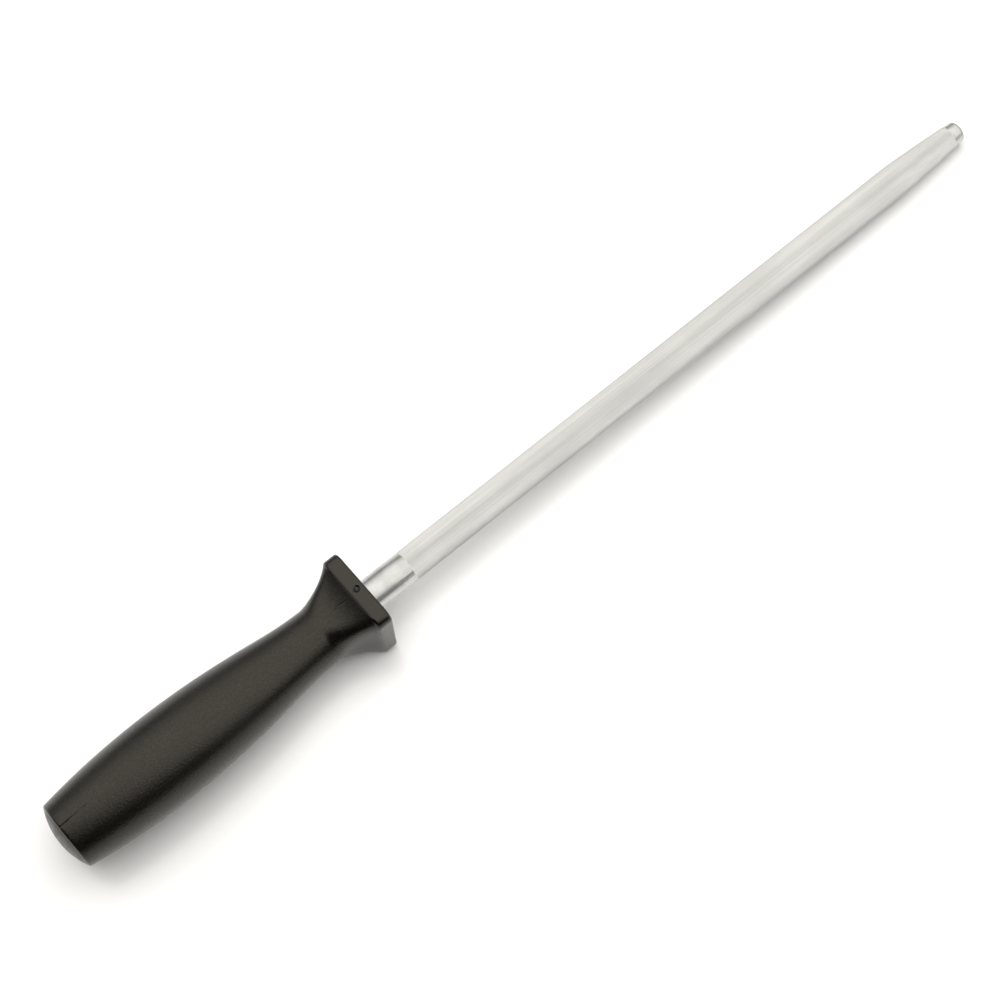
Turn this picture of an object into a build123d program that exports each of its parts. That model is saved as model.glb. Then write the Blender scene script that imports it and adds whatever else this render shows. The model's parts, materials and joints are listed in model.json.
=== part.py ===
from build123d import *
import os
from math import asin, cos, pi, sin

# A butcher's sharpening steel: a grooved steel rod in a hollow plastic handle with a square guard.
# All sizes are millimetres. The rod lies along X with its tip at +X. The origin is on the rod's axis
# in the guard's front face, and the guard's four flats face +Y, -Y, +Z and -Z.

# Rod in front of the guard
rod_diameter = 13.0
rod_length = 300.0
neck_length = 19.0
neck_step = 0.05  # the ridges stay this far below the neck, so that a sleeve for the neck passes them
groove_pitch = 0.45
groove_depth = 0.14
taper_length = 36.0
taper_drop = 2.2  # how much radius the taper loses by the tip
taper_power = 1.35  # above 1 the taper starts gently and ends steeply
taper_sections = 5
point_length = 5.0  # polished end without grooves
point_rounding = 1.3

# Rod inside the handle
shank_step = 0.5  # the shank is turned this much below the neck's radius
shank_length = 28.0
shank_clearance = 0.05
recess_depth = 0.6  # the guard's front is sunk this deep around the neck
recess_clearance = 0.5  # the recess is this much wider than the neck's radius
tang_side = 8.0
tang_chamfer = 1.2
tang_clearance = 0.1

# Grip, measured from the guard's front face towards the butt
grip_length = 138.2
grip_end_diameter = 27.4
grip_end_slope = 0.15
grip_end_rounding = 0.6
grip_end_dome = 3.4
belly_diameter = 33.9
belly_place = 92.0
swell_diameter = 28.2
swell_place = 50.0
waist_diameter = 23.1
waist_place = 23.0

# Guard and the flare behind it
guard_width = 33.5
guard_thickness = 6.6
guard_corner = 4.0
guard_front_rounding = 1.1
guard_back_rounding = 0.4
flare_inset = 0.5  # the flare meets the guard this far inside its outline
flare_squareness = 5.5  # how much squarer than a circle the flare is at the guard
flare_power = 2.6
flare_sections = 4
flare_points = 40

# Hollow of the grip and the insert in it
shell_wall = 3.0
core_clearance = 0.1
core_boss_diameter = 14.4
core_rib = 2.4
core_rib_count = 6
core_disc = 3.0
core_disc_count = 5
socket_end_gap = 1.0
core_beyond_socket = 11.2  # core left between the tang's socket and the plug

# Butt plug
plug_lip = 1.6  # width of the shell's ring around the plug
plug_flange = 2.0
plug_spigot = 8.0
plug_wall = 2.5
plug_clearance = 0.05

# Cross pin through the guard
pin_diameter = 2.0
pin_place = 3.2
pin_below_flat = 0.15
pin_chamfer = 0.35
pin_floor = 4.0  # plastic left under the pin's hole
pin_mouth_diameter = 3.0
pin_mouth_depth = 0.5

rod_radius = rod_diameter / 2
shank_radius = rod_radius - shank_step
grip_end_radius = grip_end_diameter / 2
waist_radius = waist_diameter / 2
guard_half = guard_width / 2
flat_depth = guard_half - pin_below_flat
cavity_front_radius = waist_radius - shell_wall
cavity_end_radius = grip_end_radius - shell_wall
core_end = grip_length - plug_flange - plug_spigot
tang_length = core_end - shank_length - core_beyond_socket - socket_end_gap
dome_radius = (grip_end_radius**2 + grip_end_dome**2) / (2 * grip_end_dome)
dome_centre = dome_radius - grip_length - grip_end_dome


def turned(points, curve=None):
    """A solid turned about the X axis from (x, radius) points, closed by a curve or a straight line."""
    with BuildPart() as body:
        with BuildSketch(Plane.XY):
            with BuildLine():
                Polyline(*points, close=curve is None)
                if curve is not None:
                    add(curve)
            make_face()
        revolve(axis=Axis.X)
    return body.part


def cylinder_along_x(radius, x_from, x_to):
    """A round bar on the X axis between two places."""
    middle = (x_from + x_to) / 2
    return Pos(middle, 0, 0) * Rot(0, 90, 0) * Cylinder(radius, abs(x_to - x_from))


def dome_arc(outer_radius):
    """The outline of the butt's round dome, from the axis out to a radius."""
    angle = asin(outer_radius / dome_radius)
    places = []
    for share in (0, 0.5, 1):
        x = dome_centre - dome_radius * cos(share * angle)
        places.append((x, dome_radius * sin(share * angle)))
    return ThreePointArc(*places)


def taper_radius(share):
    """The rod's ridge radius at a share of the taper, 0 at its start and 1 at the tip."""
    return rod_radius - neck_step - taper_drop * share**taper_power


def grooved_face(x, crest_radius):
    """A cross section of the working length: a star of equal V grooves around the rod."""
    count = round(pi * rod_diameter / groove_pitch)
    root_radius = crest_radius * (1 - groove_depth / rod_radius)
    corners = []
    for index in range(2 * count):
        angle = pi * index / count
        radius = crest_radius if index % 2 == 0 else root_radius
        corners.append((x, radius * cos(angle), radius * sin(angle)))
    return Face(Wire.make_polygon(corners, close=True))


def grooved_length():
    """The working length: straight from the neck to the taper, then along the taper to the point."""
    taper_start = rod_length - taper_length
    grooved_share = 1 - point_length / taper_length
    faces = [grooved_face(neck_length, taper_radius(0))]
    for index in range(taper_sections + 1):
        share = grooved_share * index / taper_sections
        faces.append(grooved_face(taper_start + share * taper_length, taper_radius(share)))
    return Solid.make_loft([face.outer_wire() for face in faces], ruled=True)


def point():
    """The polished point, with a rounded edge around its flat end."""
    start_radius = taper_radius(1 - point_length / taper_length)
    end_radius = taper_radius(1)
    start = rod_length - point_length
    cone = turned([(start, 0), (start, start_radius), (rod_length, end_radius), (rod_length, 0)])
    return fillet(cone.edges().group_by(Axis.X)[-1], point_rounding)


def pin_bar(radius, top):
    """A round bar along Z at the pin's place, from the hole's floor up to the given height."""
    bottom = pin_floor - guard_half
    return Pos(-pin_place, 0, (top + bottom) / 2) * Cylinder(radius, top - bottom)


def steel_rod():
    """The whole rod: point, working length, neck, shank and square tang."""
    neck = cylinder_along_x(rod_radius, 0, neck_length)
    shank = cylinder_along_x(shank_radius, -shank_length, 0)
    tang = Pos(-shank_length - tang_length / 2, 0, 0) * Box(tang_length, tang_side, tang_side)
    tang = chamfer(tang.faces().sort_by(Axis.X)[0].edges(), tang_chamfer)
    rod = neck + shank + tang + grooved_length() + point()
    return rod - pin_bar(pin_diameter / 2, guard_half)


def grip_body():
    """The round grip from its domed butt to the waist, solid."""
    outline = Spline(
        (-grip_length, grip_end_radius),
        (-belly_place, belly_diameter / 2),
        (-swell_place, swell_diameter / 2),
        (-waist_place, waist_radius),
        tangents=[(1, grip_end_slope), (1, 0)],
    )
    dome = dome_arc(grip_end_radius)
    grip = turned([outline @ 1, (-waist_place, 0), dome @ 0], outline + dome)
    rings = grip.edges().filter_by(GeomType.CIRCLE).filter_by(lambda edge: edge.is_closed)
    return fillet(rings.group_by(Axis.X)[0], grip_end_rounding)


def flare_section(share):
    """A closed cross section of the flare: a circle at the waist that squares up towards the guard.

    The half width grows with a power of the share. The outline at angle a is the half width over
    (|cos a|^n + |sin a|^n)^(1/n), which is a circle for n = 2 and nearly a square for a large n.
    """
    if share == 0:
        return Wire([Edge.make_circle(waist_radius, Plane((-waist_place, 0, 0), (0, 1, 0), (1, 0, 0)))])
    rise = guard_half - flare_inset - waist_radius
    half = waist_radius + rise * share**flare_power
    roundness = 2 + flare_squareness * share**2 * (3 - 2 * share)
    x = -waist_place + share * (waist_place - guard_thickness)
    outline = []
    for index in range(flare_points):
        angle = 2 * pi * index / flare_points
        reach = half / (abs(cos(angle)) ** roundness + abs(sin(angle)) ** roundness) ** (1 / roundness)
        outline.append((x, reach * cos(angle), reach * sin(angle)))
    return Wire([Edge.make_spline([Vector(*place) for place in outline], periodic=True)])


def flare():
    """The flare between the waist and the guard's back."""
    sections = [flare_section(index / flare_sections) for index in range(flare_sections + 1)]
    return Solid.make_loft(sections)


def guard():
    """The square guard plate with soft corners and edges."""
    outline = Plane.YZ.offset(-guard_thickness) * RectangleRounded(guard_width, guard_width, guard_corner)
    plate = extrude(outline, guard_thickness)
    plate = fillet(plate.edges().group_by(Axis.X)[-1], guard_front_rounding)
    return fillet(plate.edges().group_by(Axis.X)[0], guard_back_rounding)


def handle_shell():
    """Grip, flare and guard in one moulding, hollowed from the butt."""
    cavity = turned(
        [
            (-shank_length, 0),
            (-shank_length, cavity_front_radius),
            (-grip_length, cavity_end_radius),
            (-grip_length, 0),
        ]
    )
    bore = cylinder_along_x(shank_radius + shank_clearance, -shank_length, 0)
    recess = cylinder_along_x(rod_radius + recess_clearance, -recess_depth, 0)
    plug_seat = cylinder_along_x(
        grip_end_radius - plug_lip + plug_clearance,
        -grip_length - grip_end_dome,
        plug_flange - grip_length,
    )
    pin_hole = pin_bar(pin_diameter / 2, guard_half)
    pin_mouth = Pos(-pin_place, 0, guard_half - pin_mouth_depth / 2) * Cone(
        pin_diameter / 2, pin_mouth_diameter / 2, pin_mouth_depth
    )
    body = grip_body() + flare() + guard()
    return body - cavity - bore - recess - plug_seat - pin_hole - pin_mouth


def handle_core():
    """The ribbed insert: a boss around the tang, ribs and discs that fill the cavity's cone."""
    fall = (cavity_end_radius - cavity_front_radius) / (grip_length - shank_length)
    front_radius = cavity_front_radius - core_clearance
    back_radius = front_radius + fall * (core_end - shank_length)
    cone = turned(
        [
            (-shank_length, 0),
            (-shank_length, front_radius),
            (-core_end, back_radius),
            (-core_end, 0),
        ]
    )
    length = core_end - shank_length
    middle = -shank_length - length / 2
    frame = cylinder_along_x(core_boss_diameter / 2, -core_end, -shank_length)
    for index in range(core_rib_count // 2):
        turn = 360 * index / core_rib_count
        frame += Pos(middle, 0, 0) * Rot(turn, 0, 0) * Box(length, 2 * back_radius, core_rib)
    for index in range(core_disc_count):
        front = -shank_length - index * (length - core_disc) / (core_disc_count - 1)
        frame += cylinder_along_x(back_radius, front - core_disc, front)
    socket_side = tang_side + 2 * tang_clearance
    socket_length = tang_length + socket_end_gap
    socket = Pos(-shank_length - socket_length / 2, 0, 0) * Box(socket_length, socket_side, socket_side)
    return (frame & cone) - socket


def butt_plug():
    """The plug: the middle of the butt's dome, a flange in the shell's end and a hollow spigot."""
    flange_radius = grip_end_radius - plug_lip
    spigot_radius = cavity_end_radius - plug_clearance
    spigot_radius -= (plug_flange + plug_spigot) * (cavity_end_radius - cavity_front_radius) / (
        grip_length - shank_length
    )
    hollow_radius = spigot_radius - plug_wall
    dome = dome_arc(flange_radius)
    return turned(
        [
            dome @ 1,
            (plug_flange - grip_length, flange_radius),
            (plug_flange - grip_length, spigot_radius),
            (-core_end, spigot_radius),
            (-core_end, hollow_radius),
            (plug_wall - grip_length, hollow_radius),
            (plug_wall - grip_length, 0),
            dome @ 0,
        ],
        dome,
    )


def retaining_pin():
    """The cross pin, driven tight, with a small chamfer at its visible end."""
    pin = pin_bar(pin_diameter / 2, flat_depth)
    return chamfer(pin.edges().group_by(Axis.Z)[-1], pin_chamfer)


os.makedirs("parts", exist_ok=True)
export_step(steel_rod(), "parts/steel_rod.step")
export_step(handle_shell(), "parts/handle_shell.step")
export_step(handle_core(), "parts/handle_core.step")
export_step(retaining_pin(), "parts/retaining_pin.step")
export_step(butt_plug(), "parts/butt_plug.step")
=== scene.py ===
"""A butcher's sharpening steel: the visible pieces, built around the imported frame.

The rod lies along X with its tip at +X, and the origin is in the guard's front face. Every length is
in metres. Each piece is a grid of points worked out from two parameters, a place along a profile and
an angle around the rod, and is wrapped into a closed surface.
"""

import json
import math

import bmesh
import bpy
import numpy as np
from bpy.props import FloatProperty, FloatVectorProperty, IntProperty, PointerProperty
from mathutils import Matrix, Vector


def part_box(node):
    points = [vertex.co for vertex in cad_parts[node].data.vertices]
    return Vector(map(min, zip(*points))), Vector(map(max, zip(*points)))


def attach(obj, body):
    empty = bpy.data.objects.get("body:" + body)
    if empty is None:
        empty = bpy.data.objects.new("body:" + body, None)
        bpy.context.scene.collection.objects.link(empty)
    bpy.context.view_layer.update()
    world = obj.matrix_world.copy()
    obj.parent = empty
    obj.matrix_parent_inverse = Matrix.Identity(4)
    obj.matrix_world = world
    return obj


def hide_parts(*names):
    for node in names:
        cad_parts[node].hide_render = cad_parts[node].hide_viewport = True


bl_info = {
    "name": "Sharpening Steel",
    "version": (1, 0, 0),
    "blender": (4, 5, 0),
    "location": "3D View > Sidebar > Sharpening Steel",
    "description": "Builds a butcher's sharpening steel with its finishes, floor, light and camera",
    "category": "Add Mesh",
}

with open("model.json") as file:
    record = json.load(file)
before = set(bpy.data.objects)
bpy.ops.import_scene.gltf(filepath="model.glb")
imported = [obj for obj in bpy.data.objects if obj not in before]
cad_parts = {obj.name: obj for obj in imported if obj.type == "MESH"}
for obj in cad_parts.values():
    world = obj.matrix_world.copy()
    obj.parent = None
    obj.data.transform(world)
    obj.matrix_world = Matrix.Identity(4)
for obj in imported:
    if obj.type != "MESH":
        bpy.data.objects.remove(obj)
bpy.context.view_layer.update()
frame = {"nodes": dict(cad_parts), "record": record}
MM = 0.001

# Places and sizes that the frame already fixes
MOUNTS = {mount["name"]: mount for mount in frame["record"]["mounts"]}
ROD_LOW, ROD_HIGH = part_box("steel_rod")
CORE_LOW, CORE_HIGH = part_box("handle_core")
PLUG_LOW, PLUG_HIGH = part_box("butt_plug")
PIN_LOW, PIN_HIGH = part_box("retaining_pin")
ROD_RADIUS = MOUNTS["rod_neck"]["dims"]["r_mm"] * MM
NECK_LENGTH = MOUNTS["rod_neck"]["dims"]["length_mm"] * MM
GUARD_HALF = -MOUNTS["guard_flat"]["pos_m"][2]
ROD_LENGTH = ROD_HIGH.x
PLUG_RADIUS = PLUG_HIGH.y
PIN_RADIUS = (PIN_HIGH.x - PIN_LOW.x) / 2
PIN_PLACE = (PIN_HIGH.x + PIN_LOW.x) / 2

# Sizes inside the handle, as the frame's solids have them
SHANK_RADIUS = 6 * MM
TANG_HALF = 4 * MM
TANG_CHAMFER = 1.2 * MM
CLOSE_FIT = 0.05 * MM
RECESS_DEPTH = 0.6 * MM
RECESS_CLEARANCE = 0.5 * MM
SHELL_WALL = 3 * MM
PLUG_FLANGE = 2 * MM
PLUG_WALL = 2.5 * MM
FLARE_INSET = 0.5 * MM
PIN_CHAMFER = 0.35 * MM
POLE_RADIUS = 0.4 * MM  # a turned surface stops this far from its axis, and a fan closes it


class RodSettings(bpy.types.PropertyGroup):
    """Sizes and finish of the steel rod."""

    groove_count: IntProperty(name="Grooves", description="Grooves around the rod", default=91, min=12)
    groove_depth: FloatProperty(
        name="Groove depth",
        description="Depth of a groove below its ridges",
        default=0.12 * MM,
        unit="LENGTH",
    )
    ridge_drop: FloatProperty(
        name="Ridge drop",
        description="How far the ridges stand below the neck",
        default=0.05 * MM,
        unit="LENGTH",
    )
    taper_length: FloatProperty(
        name="Taper length", description="Length of the tapered end", default=36 * MM, unit="LENGTH"
    )
    taper_drop: FloatProperty(
        name="Taper drop",
        description="Radius that the taper loses by the tip",
        default=2.2 * MM,
        unit="LENGTH",
    )
    taper_power: FloatProperty(
        name="Taper power", description="Above 1 the taper starts gently and ends steeply", default=1.35
    )
    point_length: FloatProperty(
        name="Point length",
        description="Length of the polished end without grooves",
        default=5 * MM,
        unit="LENGTH",
    )
    point_rounding: FloatProperty(
        name="Point rounding", description="Radius of the end's edge", default=1.3 * MM, unit="LENGTH"
    )
    steel_colour: FloatVectorProperty(
        name="Steel colour",
        description="Colour of the ground steel",
        default=(0.745, 0.74, 0.725),
        size=3,
        min=0,
        max=1,
        subtype="COLOR",
    )


class HandleSettings(bpy.types.PropertyGroup):
    """Sizes and finish of the moulded handle with its guard."""

    butt_radius: FloatProperty(
        name="Butt radius", description="Radius at the butt's rim", default=13.7 * MM, unit="LENGTH"
    )
    butt_slope: FloatProperty(
        name="Butt slope", description="How fast the grip widens from the rim", default=0.15
    )
    butt_dome: FloatProperty(
        name="Butt dome", description="Height of the butt's dome", default=3.4 * MM, unit="LENGTH"
    )
    butt_rounding: FloatProperty(
        name="Rim rounding", description="Radius of the butt's rim", default=0.6 * MM, unit="LENGTH"
    )
    belly_radius: FloatProperty(
        name="Belly radius", description="Radius at the widest place", default=16.95 * MM, unit="LENGTH"
    )
    belly_place: FloatProperty(
        name="Belly place",
        description="Distance from the guard's face to the widest place",
        default=92 * MM,
        unit="LENGTH",
    )
    swell_place: FloatProperty(
        name="Swell place",
        description="Distance from the guard's face to the middle of the narrowing",
        default=50 * MM,
        unit="LENGTH",
    )
    swell_radius: FloatProperty(
        name="Swell radius", description="Radius there", default=14.1 * MM, unit="LENGTH"
    )
    waist_place: FloatProperty(
        name="Waist place",
        description="Distance from the guard's face to the narrowest place",
        default=23 * MM,
        unit="LENGTH",
    )
    waist_radius: FloatProperty(
        name="Waist radius", description="Radius there", default=11.55 * MM, unit="LENGTH"
    )
    guard_thickness: FloatProperty(
        name="Guard thickness", description="Depth of the guard's rim", default=6.6 * MM, unit="LENGTH"
    )
    flare_power: FloatProperty(
        name="Flare power", description="A higher power keeps the flare slim for longer", default=2.6
    )
    flare_squareness: FloatProperty(
        name="Flare squareness", description="How much squarer than a circle it ends", default=5.5
    )
    guard_corner: FloatProperty(
        name="Guard corner", description="Radius of the guard's corners", default=4 * MM, unit="LENGTH"
    )
    front_rounding: FloatProperty(
        name="Front rounding", description="Radius of the front edge", default=1.1 * MM, unit="LENGTH"
    )
    seam_depth: FloatProperty(
        name="Seam depth",
        description="Depth of the mould's seam on the grip",
        default=0.3 * MM,
        unit="LENGTH",
    )
    plastic_colour: FloatVectorProperty(
        name="Plastic colour",
        description="Colour of the handle's black plastic",
        default=(0.0036, 0.0032, 0.0025),
        size=3,
        min=0,
        max=1,
        subtype="COLOR",
    )


class StageSettings(bpy.types.PropertyGroup):
    """Camera, floor and light."""

    lens: FloatProperty(name="Lens", description="Focal length in millimetres", default=90.4)
    distance: FloatProperty(
        name="Distance", description="From the camera to the rod's middle", default=0.9406, unit="LENGTH"
    )
    look_along: FloatProperty(
        name="Lean to the tip",
        description="How far the tip turns away from the camera",
        default=math.radians(12.25),
        subtype="ANGLE",
    )
    look_side: FloatProperty(
        name="Lean to the side",
        description="How far the camera leans from overhead to the -Y side",
        default=math.radians(17.5),
        subtype="ANGLE",
    )
    roll: FloatProperty(
        name="Roll",
        description="Angle of the rod above the picture's horizontal",
        default=math.radians(38.43),
        subtype="ANGLE",
    )
    key_power: FloatProperty(name="Key power", description="Power of the key light in watts", default=2.9)
    sky_strength: FloatProperty(name="Sky strength", description="Brightness of the tent", default=1.46)


# Shapes


def wrap(name, points, loop=False):
    """A closed mesh from a grid of points, rows along the profile and columns around the axis.

    Columns always close on themselves. Rows close too when loop is set, as on a tube with an inside;
    otherwise each end row is closed by a fan to its middle point. Windings are turned outwards by the
    sign of the volume that the faces enclose.
    """
    rows, columns = points.shape[:2]
    index = np.arange(rows * columns).reshape(rows, columns)
    below = index if loop else index[:-1]
    above = np.roll(index, -1, axis=0) if loop else index[1:]
    quads = np.stack([below, np.roll(below, -1, 1), np.roll(above, -1, 1), above], axis=-1).reshape(-1, 4)
    vertices = points.reshape(-1, 3)
    fans = np.zeros((0, 3), int)
    if not loop:
        poles = np.array([points[0].mean(0), points[-1].mean(0)])
        first, last = index[0], index[-1]
        start_fan = np.stack([np.roll(first, -1), first, np.full(columns, len(vertices))], axis=-1)
        end_fan = np.stack([last, np.roll(last, -1), np.full(columns, len(vertices) + 1)], axis=-1)
        vertices = np.vstack([vertices, poles])
        fans = np.vstack([start_fan, end_fan])
    triangles = np.vstack([quads[:, :3], quads[:, [0, 2, 3]], fans])
    a, b, c = (vertices[triangles[:, corner]] for corner in range(3))
    if np.einsum("ij,ij->i", a, np.cross(b, c)).sum() < 0:
        quads, fans = quads[:, ::-1], fans[:, ::-1]
    mesh = bpy.data.meshes.new(name)
    mesh.from_pydata(vertices.tolist(), [], quads.tolist() + fans.tolist())
    mesh.update()
    mesh.polygons.foreach_set("use_smooth", np.ones(len(mesh.polygons), bool))
    mesh.set_sharp_from_angle(angle=math.radians(32))
    piece = bpy.data.objects.new(name, mesh)
    bpy.context.scene.collection.objects.link(piece)
    return piece


def square_reach(angle, half, corner):
    """How far a rounded square reaches from its middle in a direction.

    With a and b the larger and smaller of |cos| and |sin|, the flat side is met at half / a. Past the
    flat's end the corner's arc is met: (half - corner)(a + b) + sqrt(corner^2 - (half - corner)^2
    (a - b)^2). A corner as large as the half width makes a circle.
    """
    cosine, sine = np.abs(np.cos(angle)), np.abs(np.sin(angle))
    large, small = np.maximum(cosine, sine), np.minimum(cosine, sine)
    inner = half - corner
    flat = half / large
    arc = inner * (large + small) + np.sqrt(np.maximum(corner**2 - (inner * (large - small)) ** 2, 0))
    return np.where(small * half <= inner * large, flat, arc)


def soft_reach(angle, half, power):
    """How far a superellipse reaches: half / (|cos|^power + |sin|^power)^(1/power)."""
    return half / (np.abs(np.cos(angle)) ** power + np.abs(np.sin(angle)) ** power) ** (1 / power)


def around(x, reach, angle):
    """Grid points at places x, at a reach from the X axis, in directions from +Y towards +Z."""
    shape = np.broadcast_shapes(np.shape(x), np.shape(reach), np.shape(angle))
    grid = np.empty(shape + (3,))
    grid[..., 0] = x
    grid[..., 1] = reach * np.cos(angle)
    grid[..., 2] = reach * np.sin(angle)
    return grid


def smooth_step(value):
    """0 below 0 and 1 above 1, with an even S curve between: 3t^2 - 2t^3."""
    t = np.clip(value, 0, 1)
    return t * t * (3 - 2 * t)


def spline(x, knots, heights, first_slope, last_slope):
    """A cubic spline through the knots with given end slopes.

    The slopes at the knots solve the linear system that makes the second derivative continuous, and
    each stretch is then the cubic with those two heights and slopes.
    """
    knots, heights = np.array(knots), np.array(heights)
    gap = np.diff(knots)
    count = len(knots)
    system, wanted = np.eye(count), np.zeros(count)
    wanted[0], wanted[-1] = first_slope, last_slope
    for row in range(1, count - 1):
        system[row, row - 1 : row + 2] = 1 / gap[row - 1], 2 / gap[row - 1] + 2 / gap[row], 1 / gap[row]
        wanted[row] = 3 * (heights[row] - heights[row - 1]) / gap[row - 1] ** 2
        wanted[row] += 3 * (heights[row + 1] - heights[row]) / gap[row] ** 2
    slopes = np.linalg.solve(system, wanted)
    at = np.clip(np.searchsorted(knots, x) - 1, 0, count - 2)
    width = gap[at]
    t = (x - knots[at]) / width
    return (
        heights[at] * (2 * t**3 - 3 * t**2 + 1)
        + slopes[at] * width * (t**3 - 2 * t**2 + t)
        + heights[at + 1] * (3 * t**2 - 2 * t**3)
        + slopes[at + 1] * width * (t**3 - t**2)
    )


def rows_of(*stretches):
    """Rows of one profile, from arrays (or single values) for place, half width and corner radius."""
    tables = []
    for stretch in stretches:
        tables.append(np.stack(np.broadcast_arrays(*(np.atleast_1d(part) for part in stretch)), axis=-1))
    return np.vstack(tables)


def taper_radius(x, rod):
    """The ridges' radius: that of the neck less the drop, less taper_drop times share^taper_power."""
    share = np.clip((x - ROD_LENGTH + rod.taper_length) / rod.taper_length, 0, 1)
    return ROD_RADIUS - rod.ridge_drop - rod.taper_drop * share**rod.taper_power


def rod_surface(rod):
    """The whole rod, from its square tang to the rounded point.

    Each row is a circle, or on the tang a rounded square. Between the neck and the point, the radius
    loses groove_depth * (1 - (2t - 1)^2), where t runs from 0 to 1 across a groove: a round-bottomed
    groove between sharp ridges. The grooves run out over a short length, each from its own place,
    because the cutter doesn't stop every groove alike.
    """
    samples = 6
    angle = np.arange(rod.groove_count * samples) * 2 * math.pi / (rod.groove_count * samples)
    shank_back, tang_edge, tang_end_edge = CORE_HIGH.x, 0.3 * MM, 0.1 * MM
    point_start = ROD_LENGTH - rod.point_length
    taper_start = ROD_LENGTH - rod.taper_length
    run_out = 0.5 * MM
    turn = np.linspace(0, math.pi / 2, 10)
    end_radius = taper_radius(ROD_LENGTH - rod.point_rounding, rod)
    end_x = ROD_LENGTH - rod.point_rounding * (1 - np.sin(turn))
    end_reach = end_radius - rod.point_rounding * (1 - np.cos(turn))
    neck_x = np.array([0, NECK_LENGTH / 2, NECK_LENGTH - 0.1 * MM])
    start_x = NECK_LENGTH + np.linspace(0, 1.2 * MM, 13)
    straight_x = np.linspace(NECK_LENGTH + 2 * MM, taper_start, 40)
    taper_x = np.linspace(taper_start + MM, point_start - 1.4 * MM, 24)
    finish_x = np.linspace(point_start - 1.2 * MM, point_start + 0.4 * MM, 17)
    polished_x = np.linspace(point_start + 0.8 * MM, ROD_LENGTH - rod.point_rounding * 1.1, 8)
    cut_x = np.concatenate([start_x, straight_x, taper_x, finish_x, polished_x])
    rows = rows_of(
        (ROD_LOW.x, TANG_HALF - TANG_CHAMFER, tang_end_edge),
        (ROD_LOW.x + TANG_CHAMFER, TANG_HALF, tang_edge),
        (np.linspace(ROD_LOW.x + 10 * MM, shank_back, 8), TANG_HALF, tang_edge),
        ([shank_back, 0], SHANK_RADIUS, SHANK_RADIUS),
        (neck_x, ROD_RADIUS, ROD_RADIUS),
        (cut_x, taper_radius(cut_x, rod), taper_radius(cut_x, rod)),
        (end_x, end_reach, end_reach),
        (ROD_LENGTH, 0.5 * end_reach[-1], 0.5 * end_reach[-1]),
    )
    x, half, corner = (rows[:, part, None] for part in range(3))
    groove = np.floor(angle * rod.groove_count / (2 * math.pi))
    wobble = 0.22 * MM * (np.sin(groove * 2.399) + np.sin(groove * 7.13 + 1))
    slant = 0.5 * MM * np.cos(angle - 2.4)
    depth = smooth_step((x - NECK_LENGTH + 0.1 * MM - 0.2 * wobble) / run_out)
    depth = depth * smooth_step((point_start - x + wobble + slant) / run_out)
    across = np.mod(angle * rod.groove_count / (2 * math.pi), 1)
    wave = 1 - (2 * across - 1) ** 2
    reach = square_reach(angle, half, corner) - rod.groove_depth * half / ROD_RADIUS * depth * wave
    return around(x, reach, angle)


def grip_radius(x, handle):
    """The grip's radius between the butt's rim and the waist, a spline through four places."""
    rim = PLUG_LOW.x + handle.butt_dome
    return spline(
        x,
        [rim, -handle.belly_place, -handle.swell_place, -handle.waist_place],
        [handle.butt_radius, handle.belly_radius, handle.swell_radius, handle.waist_radius],
        handle.butt_slope,
        0,
    )


def dome_x(radius, handle):
    """The place of the butt's dome at a radius: the sphere through the rim and the dome's top."""
    sphere = (handle.butt_radius**2 + handle.butt_dome**2) / (2 * handle.butt_dome)
    return PLUG_LOW.x + sphere - np.sqrt(sphere**2 - np.square(radius))


def directions_around(handle):
    """Angles around the handle: even steps, with close steps where the mould's seams run."""
    even = np.linspace(0, 2 * math.pi, 288, endpoint=False)
    close = np.linspace(-0.6, 0.6, 15) * MM / handle.waist_radius
    crowded = np.concatenate([math.pi / 2 + close, 3 * math.pi / 2 + close])
    least_step = 0.008
    clear = np.abs(even[:, None] - crowded[None]).min(axis=1) > least_step
    return np.sort(np.concatenate([even[clear], crowded]))


def grip_rows(handle):
    """The butt's ring around the plug, its rounded rim and the grip as far as the waist, all circles.

    The rim is the curve (1-t)^2 P + 2t(1-t) Q + t^2 R from the dome over the sharp rim Q to the grip.
    """
    rim_x = PLUG_LOW.x + handle.butt_dome
    rim_inner = handle.butt_radius - 1.1 * handle.butt_rounding
    rim_outer_x = rim_x + 1.1 * handle.butt_rounding
    lip = np.linspace(PLUG_RADIUS + CLOSE_FIT, rim_inner, 4)
    turn = np.linspace(0, 1, 9)[1:]
    fade = 1 - turn
    inner_x, outer_radius = dome_x(rim_inner, handle), grip_radius(np.array([rim_outer_x]), handle)[0]
    round_x = fade**2 * inner_x + 2 * turn * fade * rim_x + turn**2 * rim_outer_x
    rounding = fade**2 * rim_inner + 2 * turn * fade * handle.butt_radius + turn**2 * outer_radius
    grip_x = np.linspace(rim_outer_x + MM, -handle.waist_place, 84)
    grip = grip_radius(grip_x, handle)
    return rows_of((dome_x(lip, handle), lip, lip), (round_x, rounding, rounding), (grip_x, grip, grip))


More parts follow.
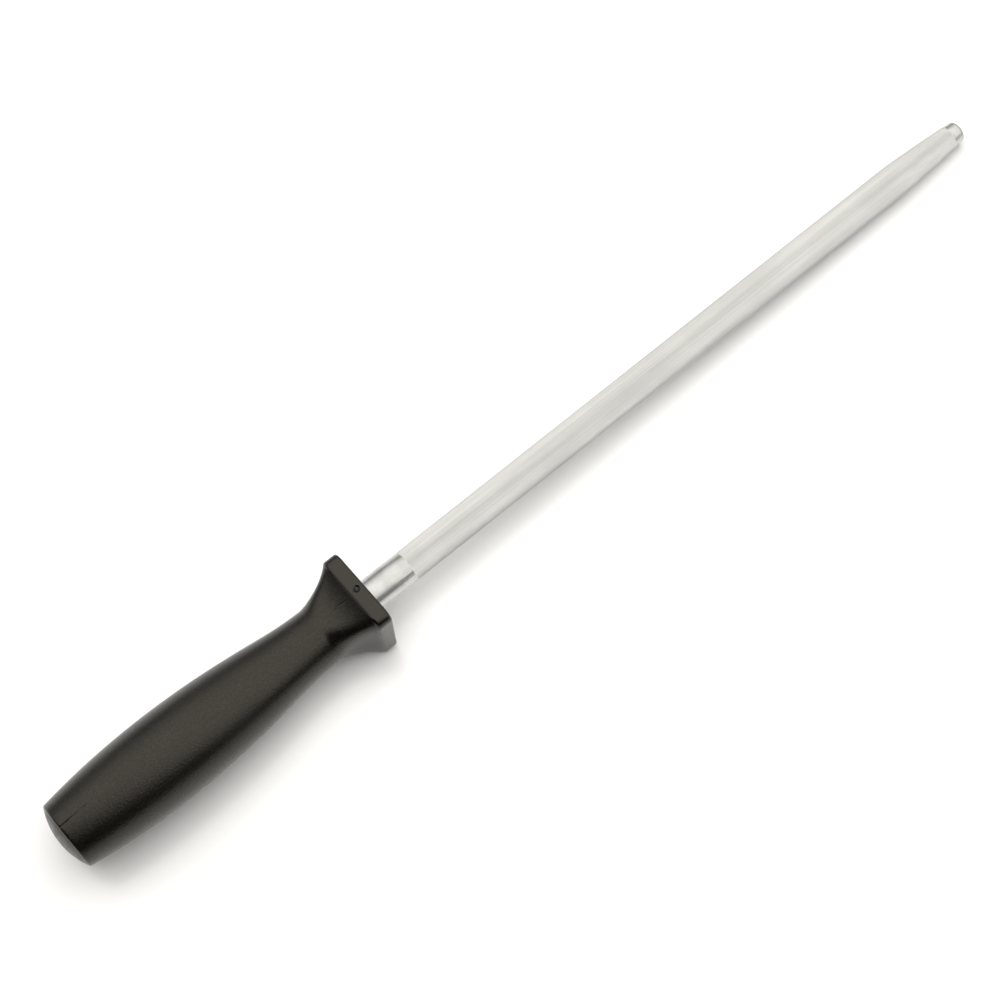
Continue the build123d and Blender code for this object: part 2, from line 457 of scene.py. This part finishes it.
def guard_rows(handle, flare_half, flare_corner):
    """The guard from the flare's end to its front face, then the inside back to the plug's seat.

    Every row is a rounded square. Those of the inside are circles: the recess, the shank's bore, the
    cone around the core and the plug's seat.
    """
    blend = np.linspace(0, 1, 8)[1:]
    ease = np.sin(blend * math.pi / 2)
    back_x = -handle.guard_thickness + 1.3 * MM * blend
    back_half = flare_half + (GUARD_HALF - flare_half) * ease
    back_corner = flare_corner + (handle.guard_corner - flare_corner) * ease
    turn = np.linspace(0, math.pi / 2, 8)
    front = handle.front_rounding
    front_x = -front * (1 - np.sin(turn))
    shrink = front * (1 - np.cos(turn))
    face = np.linspace(0, 1, 8)[1:]
    face_half, face_corner = GUARD_HALF - front, handle.guard_corner - front
    recess, bore = ROD_RADIUS + RECESS_CLEARANCE, SHANK_RADIUS + CLOSE_FIT
    rim_x = PLUG_LOW.x + handle.butt_dome
    seat_x, seat = rim_x + PLUG_FLANGE, PLUG_RADIUS + CLOSE_FIT
    cone_x, cone_front = CORE_HIGH.x, handle.waist_radius - SHELL_WALL
    cone_back = handle.butt_radius - SHELL_WALL
    cone_at_seat = cone_front + (cone_back - cone_front) * (seat_x - cone_x) / (rim_x - cone_x)
    return rows_of(
        (back_x, back_half, back_corner),
        (-3 * MM, GUARD_HALF, handle.guard_corner),
        (front_x, GUARD_HALF - shrink, handle.guard_corner - shrink),
        (0, face_half + (recess - face_half) * face, face_corner + (recess - face_corner) * face),
        (-RECESS_DEPTH, recess, recess),
        ([-RECESS_DEPTH, cone_x], bore, bore),
        (cone_x, cone_front, cone_front),
        (seat_x, cone_at_seat, cone_at_seat),
        (seat_x, seat, seat),
    )


def handle_surface(handle):
    """Grip, flare and guard, outside and inside, as one closed tube.

    From the waist to the guard a row is a superellipse. Its half width grows with share^flare_power,
    and its power n climbs from 2, a circle, by the flare's squareness. The guard's first row has the
    rounded corner that reaches as far along the diagonal, 2^(1/2 - 1/n) of the half width.
    """
    angle = directions_around(handle)
    share = np.linspace(0, 1, 44)[1:]
    flare_x = -handle.waist_place + share * (handle.waist_place - handle.guard_thickness)
    rise = GUARD_HALF - FLARE_INSET - handle.waist_radius
    flare_half = handle.waist_radius + rise * share**handle.flare_power
    power = 2 + handle.flare_squareness * smooth_step(share)
    diagonal = 2 ** (0.5 - 1 / power[-1])
    end_corner = flare_half[-1] * (math.sqrt(2) - diagonal) / (math.sqrt(2) - 1)
    grip, guard = grip_rows(handle), guard_rows(handle, flare_half[-1], end_corner)
    reach = np.vstack(
        [
            square_reach(angle, grip[:, 1, None], grip[:, 2, None]),
            soft_reach(angle, flare_half[:, None], power[:, None]),
            square_reach(angle, guard[:, 1, None], guard[:, 2, None]),
        ]
    )
    x = np.concatenate([grip[:, 0], flare_x, guard[:, 0]])[:, None]
    outside = (np.arange(len(x)) < len(grip) + len(flare_x))[:, None]
    reach = reach + outside * mould_seam(x, angle, reach, handle)
    return around(x, reach, angle)


def mould_seam(x, angle, reach, handle):
    """The line where the mould's halves met, along the grip's top and bottom.

    A narrow crease, seam_depth * exp(-(distance / width)^2), whose depth comes and goes along the
    grip: clear near the butt, rubbed away by the hand in the middle, and back on the flare, where it
    also strays sideways.
    """
    width, on_flare_share = 0.2 * MM, 0.45
    stray = 0.35 * MM * smooth_step((x + 20 * MM) / (6 * MM)) * np.sin(x * 900)
    sideways = reach * np.cos(angle) - stray
    crease = np.exp(-((sideways / width) ** 2))
    near_butt = smooth_step((-124 * MM - x) / (4 * MM))
    on_flare = smooth_step((x + 19 * MM) / (4 * MM)) * smooth_step((-8 * MM - x) / (2 * MM))
    broken = 0.55 + 0.45 * np.sin(x * 2900) * np.sin(x * 1130 + 1)
    return -handle.seam_depth * crease * (near_butt + on_flare_share * on_flare) * broken


def plug_surface(handle):
    """The plug in the butt: the dome's middle, its flange and its hollow spigot, turned about X."""
    angle = np.linspace(0, 2 * math.pi, 160, endpoint=False)
    rim_x = PLUG_LOW.x + handle.butt_dome
    crease = 0.06 * MM
    dome = np.linspace(POLE_RADIUS, PLUG_RADIUS - crease, 34)
    spigot, beside_core = CORE_LOW.x, 0.06 * MM
    outer = CORE_HIGH.y + beside_core
    inner = outer - PLUG_WALL
    flange_x = rim_x + PLUG_FLANGE
    rows = rows_of(
        (dome_x(dome, handle), dome, 0),
        (dome_x(PLUG_RADIUS, handle) + crease, PLUG_RADIUS, 0),
        (flange_x, PLUG_RADIUS, 0),
        (flange_x, outer, 0),
        (spigot, outer, 0),
        (spigot, inner, 0),
        (rim_x + PLUG_WALL, inner, 0),
        (rim_x + PLUG_WALL, POLE_RADIUS, 0),
    )
    return around(rows[:, 0, None], rows[:, 1, None], angle)


def around_pin(height, radius):
    """Grid points around the pin's upright axis, at the given heights and radii."""
    angle = np.linspace(0, 2 * math.pi, 48, endpoint=False)
    height, radius = np.array(height)[:, None], np.array(radius)[:, None]
    grid = np.empty((len(height), len(angle), 3))
    grid[..., 0] = PIN_PLACE + radius * np.cos(angle)
    grid[..., 1] = radius * np.sin(angle)
    grid[..., 2] = height
    return grid


def pin_surface():
    """The cross pin, turned about its axis: a straight bar with a chamfer at its upper end."""
    low, top, inner = PIN_LOW.z, PIN_HIGH.z, 0.3 * PIN_RADIUS
    height = [low, low, top - PIN_CHAMFER, top, top]
    return around_pin(height, [inner, PIN_RADIUS, PIN_RADIUS, PIN_RADIUS - PIN_CHAMFER, inner])


def pin_hole_surface():
    """What the pin's hole takes away, turned about the pin's axis: the bore and its flared mouth."""
    mouth, depth = 1.5 * MM, 0.3 * MM
    height = [PIN_LOW.z, GUARD_HALF - depth, GUARD_HALF, GUARD_HALF + MM]
    return around_pin(height, [PIN_RADIUS, PIN_RADIUS, mouth, mouth])


def cut(piece, cutter):
    """Takes the cutter's volume out of the piece's mesh, removes the cutter and merges slivers."""
    change = piece.modifiers.new("cut", "BOOLEAN")
    change.object = cutter
    change.operation = "DIFFERENCE"
    change.solver = "EXACT"
    bpy.context.view_layer.update()
    whole = piece.evaluated_get(bpy.context.evaluated_depsgraph_get())
    cut_mesh = bpy.data.meshes.new_from_object(whole)
    piece.modifiers.remove(change)
    old = piece.data
    piece.data = cut_mesh
    bpy.data.meshes.remove(old)
    cut_mesh.name = piece.name
    bpy.data.objects.remove(cutter)
    sliver = 0.004 * MM
    merged = bmesh.new()
    merged.from_mesh(cut_mesh)
    bmesh.ops.remove_doubles(merged, verts=merged.verts, dist=sliver)
    bmesh.ops.dissolve_degenerate(merged, edges=merged.edges, dist=sliver)
    merged.to_mesh(cut_mesh)
    merged.free()
    if len(cut_mesh.polygons) == 0:
        raise RuntimeError(f"cutting emptied {piece.name}")


# Finishes


class Finish:
    """A material's node tree, with a short way to add a node, set its values and link its inputs."""

    def __init__(self, name):
        self.material = bpy.data.materials.new(name)
        self.material.use_nodes = True
        self.tree = self.material.node_tree
        self.shader = self.tree.nodes["Principled BSDF"]
        self.place = self.node("ShaderNodeTexCoord").outputs["Object"]

    def node(self, kind, inputs=None, **settings):
        """A new node with its settings and its inputs, each a value or another node's output."""
        made = self.tree.nodes.new(kind)
        for key, value in settings.items():
            setattr(made, key, value)
        for key, value in (inputs or {}).items():
            self.put(made.inputs[key], value)
        return made

    def put(self, socket, value):
        """Links an output to the socket, or sets the socket's own value."""
        if isinstance(value, bpy.types.NodeSocket):
            self.tree.links.new(value, socket)
        else:
            socket.default_value = value

    def stretched(self, scale):
        """Object coordinates with each axis scaled, so that a pattern is long where the scale is low."""
        return self.node("ShaderNodeMapping", {"Vector": self.place, "Scale": scale}).outputs["Vector"]

    def noise(self, scale, detail=2.0, vector=None, roughness=0.5):
        """A cloudy pattern from 0 to 1."""
        inputs = {"Scale": scale, "Detail": detail, "Roughness": roughness}
        inputs["Vector"] = self.place if vector is None else vector
        return self.node("ShaderNodeTexNoise", inputs).outputs["Fac"]

    def ramp(self, value, low, high, to_low=0.0, to_high=1.0):
        """The value's stretch from low to high, mapped to another stretch and clamped there."""
        inputs = {"Value": value, "From Min": low, "From Max": high, "To Min": to_low, "To Max": to_high}
        return self.node("ShaderNodeMapRange", inputs, interpolation_type="SMOOTHSTEP").outputs["Result"]

    def math(self, operation, a, b):
        made = self.node("ShaderNodeMath", operation=operation)
        self.put(made.inputs[0], a)
        self.put(made.inputs[1], b)
        return made.outputs[0]

    def mix(self, share, first, second):
        """The first colour where the share is 0 and the second where it is 1."""
        made = self.node("ShaderNodeMix", data_type="RGBA")
        self.put(made.inputs["Factor"], share)
        for socket, colour in ((made.inputs[6], first), (made.inputs[7], second)):
            self.put(socket, colour if isinstance(colour, bpy.types.NodeSocket) else (*colour, 1.0))
        return made.outputs[2]

    def bump(self, height, distance, strength):
        """A normal tilted by the pattern's slopes."""
        inputs = {"Height": height, "Distance": distance, "Strength": strength}
        return self.node("ShaderNodeBump", inputs).outputs["Normal"]

    def set(self, **sockets):
        """Sets the shader's sockets, named with _ for a space, and gives the material back."""
        for name, value in sockets.items():
            self.put(self.shader.inputs[name.replace("_", " ")], value)
        return self.material


def shade(colour, factor):
    """The colour made lighter or darker by a factor."""
    return tuple(channel * factor for channel in colour)


def cut_steel_finish(rod):
    """The grooved length: satin steel with long fine streaks and a faint mottle."""
    finish = Finish("cut_steel")
    streaks = finish.noise(1.0, 4.0, finish.stretched((14, 2600, 2600)), 0.6)
    bands = finish.noise(1.0, 2.0, finish.stretched((9, 240, 240)))
    patches = finish.noise(55.0, 3.0)
    tone = finish.math("MULTIPLY", streaks, 0.45)
    tone = finish.math("ADD", tone, finish.math("MULTIPLY", bands, 0.35))
    tone = finish.math("ADD", tone, finish.math("MULTIPLY", patches, 0.2))
    light, dark = shade(rod.steel_colour, 1.08), shade(rod.steel_colour, 0.9)
    colour = finish.mix(finish.ramp(tone, 0.35, 0.65), dark, light)
    rough = finish.ramp(tone, 0.3, 0.7, 0.48, 0.38)
    normal = finish.bump(streaks, 0.02 * MM, 0.5)
    return finish.set(Base_Color=colour, Metallic=1.0, Roughness=rough, Normal=normal)


def bright_steel_finish(rod):
    """The neck and the point: ground bright, with faint turning marks around them."""
    finish = Finish("bright_steel")
    turning = finish.noise(1.0, 3.0, finish.stretched((5200, 60, 60)), 0.6)
    scuffs = finish.noise(1.0, 3.0, finish.stretched((90, 700, 700)))
    smear = finish.noise(160.0, 3.0)
    light, dark = shade(rod.steel_colour, 0.84), shade(rod.steel_colour, 0.72)
    colour = finish.mix(finish.ramp(smear, 0.35, 0.65), dark, light)
    rough = finish.ramp(scuffs, 0.35, 0.7, 0.26, 0.36)
    normal = finish.bump(turning, 0.004 * MM, 0.35)
    return finish.set(Base_Color=colour, Metallic=1.0, Roughness=rough, Normal=normal)


def grained_plastic_finish(handle):
    """Black plastic: spark-eroded grain on the grip, smoother and a little glossier on the guard."""
    finish = Finish("grained_plastic")
    x = finish.node("ShaderNodeSeparateXYZ", {"Vector": finish.place}).outputs["X"]
    guard_back = -handle.guard_thickness
    on_grip = finish.ramp(x, guard_back - MM, guard_back + MM, 1.0, 0.0)
    grain = finish.noise(1500.0, 3.0, roughness=0.65)
    cells = finish.node("ShaderNodeTexVoronoi", {"Vector": finish.place, "Scale": 1300.0}).outputs["Distance"]
    height = finish.math("ADD", finish.math("MULTIPLY", grain, 0.6), finish.math("MULTIPLY", cells, 0.4))
    depth = finish.ramp(on_grip, 0.0, 1.0, 0.15, 1.0)
    handled = finish.noise(34.0, 3.0)
    flow = finish.noise(1.0, 3.0, finish.stretched((40, 260, 260)))
    wear = finish.math("ADD", finish.math("MULTIPLY", handled, 0.6), finish.math("MULTIPLY", flow, 0.4))
    rough = finish.math(
        "ADD", finish.ramp(wear, 0.35, 0.65, 0.22, 0.28), finish.math("MULTIPLY", on_grip, 0.04)
    )
    speckle = finish.math("MULTIPLY", finish.ramp(grain, 0.38, 0.66), on_grip)
    dark, light = shade(handle.plastic_colour, 0.6), shade(handle.plastic_colour, 1.5)
    colour = finish.mix(finish.math("MAXIMUM", speckle, finish.ramp(wear, 0.45, 0.8)), dark, light)
    shine = finish.math(
        "SUBTRACT", finish.ramp(speckle, 0.0, 1.0, 0.6, 0.68), finish.math("MULTIPLY", on_grip, 0.1)
    )
    normal = finish.bump(finish.math("MULTIPLY", height, depth), 0.1 * MM, 0.8)
    return finish.set(
        Base_Color=colour,
        Roughness=rough,
        Specular_IOR_Level=shine,
        Specular_Tint=(1.0, 0.93, 0.82, 1.0),
        Normal=normal,
    )


def smooth_plastic_finish(handle):
    """The plug's black plastic: a fine satin face with faint radial scuffs."""
    finish = Finish("smooth_plastic")
    grain = finish.noise(3000.0, 2.0)
    scuffs = finish.noise(1.0, 3.0, finish.stretched((100, 420, 160)))
    rough = finish.ramp(scuffs, 0.35, 0.7, 0.3, 0.4)
    dark, light = handle.plastic_colour, shade(handle.plastic_colour, 1.8)
    colour = finish.mix(finish.ramp(scuffs, 0.4, 0.7), dark, light)
    normal = finish.bump(grain, 0.02 * MM, 0.5)
    return finish.set(
        Base_Color=colour, Roughness=rough, Normal=normal, Specular_Tint=(0.96, 1.0, 0.84, 1.0)
    )


def core_plastic_finish():
    """The hidden core: plain dark grey moulding with a faint flow pattern."""
    finish = Finish("core_plastic")
    flow = finish.noise(1.0, 3.0, finish.stretched((30, 200, 200)))
    colour = finish.mix(finish.ramp(flow, 0.35, 0.65), (0.07, 0.07, 0.07), (0.11, 0.11, 0.11))
    rough = finish.ramp(flow, 0.3, 0.7, 0.5, 0.62)
    return finish.set(Base_Color=colour, Roughness=rough)


def blackened_steel_finish():
    """The pin's end: blackened steel with a rubbed, lighter crown."""
    finish = Finish("blackened_steel")
    rub = finish.noise(1500.0, 3.0)
    colour = finish.mix(finish.ramp(rub, 0.35, 0.7), (0.025, 0.024, 0.022), (0.06, 0.058, 0.052))
    rough = finish.ramp(rub, 0.3, 0.7, 0.42, 0.3)
    normal = finish.bump(rub, 0.01 * MM, 0.4)
    return finish.set(Base_Color=colour, Metallic=0.6, Roughness=rough, Normal=normal)


def paper_finish():
    """The floor: plain white paper with a satin face."""
    finish = Finish("white_paper")
    tone = finish.noise(6.0, 2.0)
    colour = finish.mix(finish.ramp(tone, 0.3, 0.7), (0.9, 0.9, 0.9), (0.915, 0.915, 0.915))
    return finish.set(Base_Color=colour, Roughness=0.2, Specular_IOR_Level=0.9)


def finish_by_place(piece, materials, chosen):
    """Gives each face the material whose number the function works out from the face's middle."""
    for material in materials:
        piece.data.materials.append(material)
    middles = np.empty(len(piece.data.polygons) * 3)
    piece.data.polygons.foreach_get("center", middles)
    piece.data.polygons.foreach_set("material_index", chosen(middles.reshape(-1, 3)).astype(np.int32))


# Stage


def floor_frame(rod):
    """The floor's place: a plane under the guard's lower front edge and the start of the taper.

    The steel leans on those two, so the floor climbs along X by the difference of their depths over
    the distance between them.
    """
    touch_share = 0.82
    touch_x = ROD_LENGTH - touch_share * rod.taper_length
    touch_z = -float(taper_radius(np.array(touch_x), rod))
    climb = math.atan2(touch_z + GUARD_HALF, touch_x)
    turn = Matrix.Rotation(-climb, 4, "Y")
    return Matrix.Translation((0, 0, -GUARD_HALF)) @ turn


def lay_floor(rest):
    """A wide plain sheet with its place in its mesh."""
    half_side = 4.0
    square = ((-1, -1), (1, -1), (1, 1), (-1, 1))
    corners = [rest @ Vector((x * half_side, y * half_side, 0)) for x, y in square]
    mesh = bpy.data.meshes.new("floor")
    mesh.from_pydata(corners, [], [(0, 1, 2, 3)])
    mesh.materials.append(paper_finish())
    floor = bpy.data.objects.new("floor", mesh)
    bpy.context.scene.collection.objects.link(floor)


def light_tent(stage):
    """A white tent as the sky, with a dark opening low on the camera's side.

    The tent's brightness is mixed from two profiles of height, one for each side. Across from the
    camera it is greyer near the horizon. On the camera's side it is dark up to half the way to the
    top, and more so towards -X.
    """
    world = bpy.data.worlds.new("tent")
    bpy.context.scene.world = world
    world.use_nodes = True
    nodes, links = world.node_tree.nodes, world.node_tree.links
    place = nodes.new("ShaderNodeTexCoord").outputs["Generated"]

    def along(direction):
        """How far each place of the sky lies in a direction."""
        made = nodes.new("ShaderNodeVectorMath")
        made.operation = "DOT_PRODUCT"
        made.inputs[1].default_value = direction
        links.new(place, made.inputs[0])
        return made.outputs["Value"]

    def profile(value, low, high, to_low, to_high):
        """The value's stretch from low to high, mapped to another stretch with an S curve."""
        made = nodes.new("ShaderNodeMapRange")
        made.interpolation_type = "SMOOTHSTEP"
        settings = (("From Min", low), ("From Max", high), ("To Min", to_low), ("To Max", to_high))
        for name, number in settings:
            made.inputs[name].default_value = number
        links.new(value, made.inputs["Value"])
        return made.outputs["Result"]

    away, up, up_and_forward = (0.585, 0.811, 0.0), (0.0, 0.0, 1.0), (0.9, 0.0, 1.0)
    side = nodes.new("ShaderNodeMix")
    side.data_type = "FLOAT"
    links.new(profile(along(away), -0.45, 0.15, 0.0, 1.0), side.inputs["Factor"])
    links.new(profile(along(up_and_forward), 0.4, 0.96, 0.0, 1.0), side.inputs["A"])
    links.new(profile(along(up), 0.0, 0.9, 0.14, 1.0), side.inputs["B"])
    colour = nodes.new("ShaderNodeCombineColor")
    warm_white = {"Red": 1.0, "Green": 0.985, "Blue": 0.945}
    for channel, tint in warm_white.items():
        tinted = nodes.new("ShaderNodeMath")
        tinted.operation = "MULTIPLY"
        tinted.inputs[1].default_value = tint
        links.new(side.outputs["Result"], tinted.inputs[0])
        links.new(tinted.outputs[0], colour.inputs[channel])
    background = nodes["Background"]
    links.new(colour.outputs[0], background.inputs["Color"])
    background.inputs["Strength"].default_value = stage.sky_strength


def hang_key(stage):
    """A wide soft light over the steel, which lights the floor and shows in no gloss."""
    aim, place = Vector((0.08, 0, 0)), Vector((0.08, 0.1, 0.6))
    data = bpy.data.lights.new("key", "AREA")
    data.shape, data.size, data.size_y = "RECTANGLE", 0.9, 0.7
    data.energy = stage.key_power
    key = bpy.data.objects.new("key", data)
    bpy.context.scene.collection.objects.link(key)
    key.visible_glossy = False
    key.visible_camera = False
    key.location = place
    key.rotation_mode = "QUATERNION"
    key.rotation_quaternion = (aim - place).to_track_quat("-Z", "Y")


def set_camera(stage):
    """A long lens over the rod's middle, leaning to the -Y side, with the rod rising to the right.

    The back direction is (-sin t, -cos t sin s, cos t cos s) for the leans t and s. The rod's
    direction in the picture is turned up from the picture's right by the roll.
    """
    lean, side, roll = stage.look_along, stage.look_side, stage.roll
    back = Vector((-math.sin(lean), -math.cos(lean) * math.sin(side), math.cos(lean) * math.cos(side)))
    down_right = Vector((0, -math.cos(side), -math.sin(side)))
    along = back.cross(down_right).normalized()
    right = along * math.cos(roll) + down_right * math.sin(roll)
    up = along * math.sin(roll) - down_right * math.cos(roll)
    rod_place, below_rod = 62.5 * MM, 2.1 * MM
    centre = Vector((rod_place, 0, 0)) + down_right * below_rod
    data = bpy.data.cameras.new("camera")
    data.lens, data.sensor_width = stage.lens, 36.0
    data.clip_start, data.clip_end = 0.05, 30.0
    camera = bpy.data.objects.new("camera", data)
    bpy.context.scene.collection.objects.link(camera)
    turn = Matrix((right, up, back)).transposed()
    camera.matrix_world = Matrix.Translation(centre + back * stage.distance) @ turn.to_4x4()
    bpy.context.scene.camera = camera


# Operators


class STEEL_OT_rod(bpy.types.Operator):
    """Builds the steel rod with its grooves, bright neck and polished point."""

    bl_idname = "sharpening_steel.rod"
    bl_label = "Rod"

    def execute(self, context):
        rod = context.scene.steel_rod
        piece = wrap("rod", rod_surface(rod))
        cut(piece, wrap("pin_hole", pin_hole_surface()))
        into_point = 0.2 * MM
        point_start = ROD_LENGTH - rod.point_length + into_point
        bright, worked = bright_steel_finish(rod), cut_steel_finish(rod)

        def is_cut(middle):
            return (middle[:, 0] > NECK_LENGTH) & (middle[:, 0] < point_start)

        finish_by_place(piece, [bright, worked], is_cut)
        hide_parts("steel_rod")
        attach(piece, "root")
        return {"FINISHED"}


class STEEL_OT_handle(bpy.types.Operator):
    """Builds the moulded handle: grip, flare and square guard."""

    bl_idname = "sharpening_steel.handle"
    bl_label = "Handle"

    def execute(self, context):
        handle = context.scene.steel_handle
        piece = wrap("handle", handle_surface(handle), loop=True)
        cut(piece, wrap("pin_hole", pin_hole_surface()))
        piece.data.materials.append(grained_plastic_finish(handle))
        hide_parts("handle_shell")
        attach(piece, "root")
        return {"FINISHED"}


class STEEL_OT_plug(bpy.types.Operator):
    """Builds the plug that closes the butt."""

    bl_idname = "sharpening_steel.plug"
    bl_label = "Butt plug"

    def execute(self, context):
        handle = context.scene.steel_handle
        piece = wrap("plug", plug_surface(handle))
        piece.data.materials.append(smooth_plastic_finish(handle))
        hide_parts("butt_plug")
        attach(piece, "root")
        return {"FINISHED"}


class STEEL_OT_pin(bpy.types.Operator):
    """Builds the cross pin and gives the hidden core its finish."""

    bl_idname = "sharpening_steel.pin"
    bl_label = "Pin and core"

    def execute(self, context):
        piece = wrap("pin", pin_surface())
        piece.data.materials.append(blackened_steel_finish())
        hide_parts("retaining_pin")
        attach(piece, "root")
        core = frame["nodes"]["handle_core"]
        core.data.materials.clear()
        core.data.materials.append(core_plastic_finish())
        return {"FINISHED"}


class STEEL_OT_stage(bpy.types.Operator):
    """Sets the floor, the light and the camera."""

    bl_idname = "sharpening_steel.stage"
    bl_label = "Stage"

    def execute(self, context):
        stage = context.scene.steel_stage
        rest = floor_frame(context.scene.steel_rod)
        lay_floor(rest)
        light_tent(stage)
        hang_key(stage)
        set_camera(stage)
        context.scene.view_settings.view_transform = "Standard"
        return {"FINISHED"}


class VIEW3D_PT_sharpening_steel(bpy.types.Panel):
    """Lists the operators and the settings of the steel."""

    bl_label = "Sharpening Steel"
    bl_idname = "VIEW3D_PT_sharpening_steel"
    bl_space_type = "VIEW_3D"
    bl_region_type = "UI"
    bl_category = "Sharpening Steel"

    def draw(self, context):
        for operator in OPERATORS:
            self.layout.operator(operator.bl_idname)
        for name in SETTINGS:
            group = getattr(context.scene, name)
            for key in group.bl_rna.properties.keys():
                if key not in ("rna_type", "name"):
                    self.layout.prop(group, key)


OPERATORS = (STEEL_OT_rod, STEEL_OT_handle, STEEL_OT_plug, STEEL_OT_pin, STEEL_OT_stage)
SETTINGS = {"steel_rod": RodSettings, "steel_handle": HandleSettings, "steel_stage": StageSettings}
CLASSES = (*SETTINGS.values(), *OPERATORS, VIEW3D_PT_sharpening_steel)


def register():
    """Makes the classes and the scene's settings known to Blender."""
    for known in CLASSES:
        bpy.utils.register_class(known)
    for name, group in SETTINGS.items():
        setattr(bpy.types.Scene, name, PointerProperty(type=group))


def unregister():
    """Takes them away again."""
    for name in SETTINGS:
        delattr(bpy.types.Scene, name)
    for known in reversed(CLASSES):
        bpy.utils.unregister_class(known)


def main():
    """Builds every piece and the stage."""
    register()
    bpy.ops.sharpening_steel.rod()
    bpy.ops.sharpening_steel.handle()
    bpy.ops.sharpening_steel.plug()
    bpy.ops.sharpening_steel.pin()
    bpy.ops.sharpening_steel.stage()


if __name__ == "__main__":
    main()
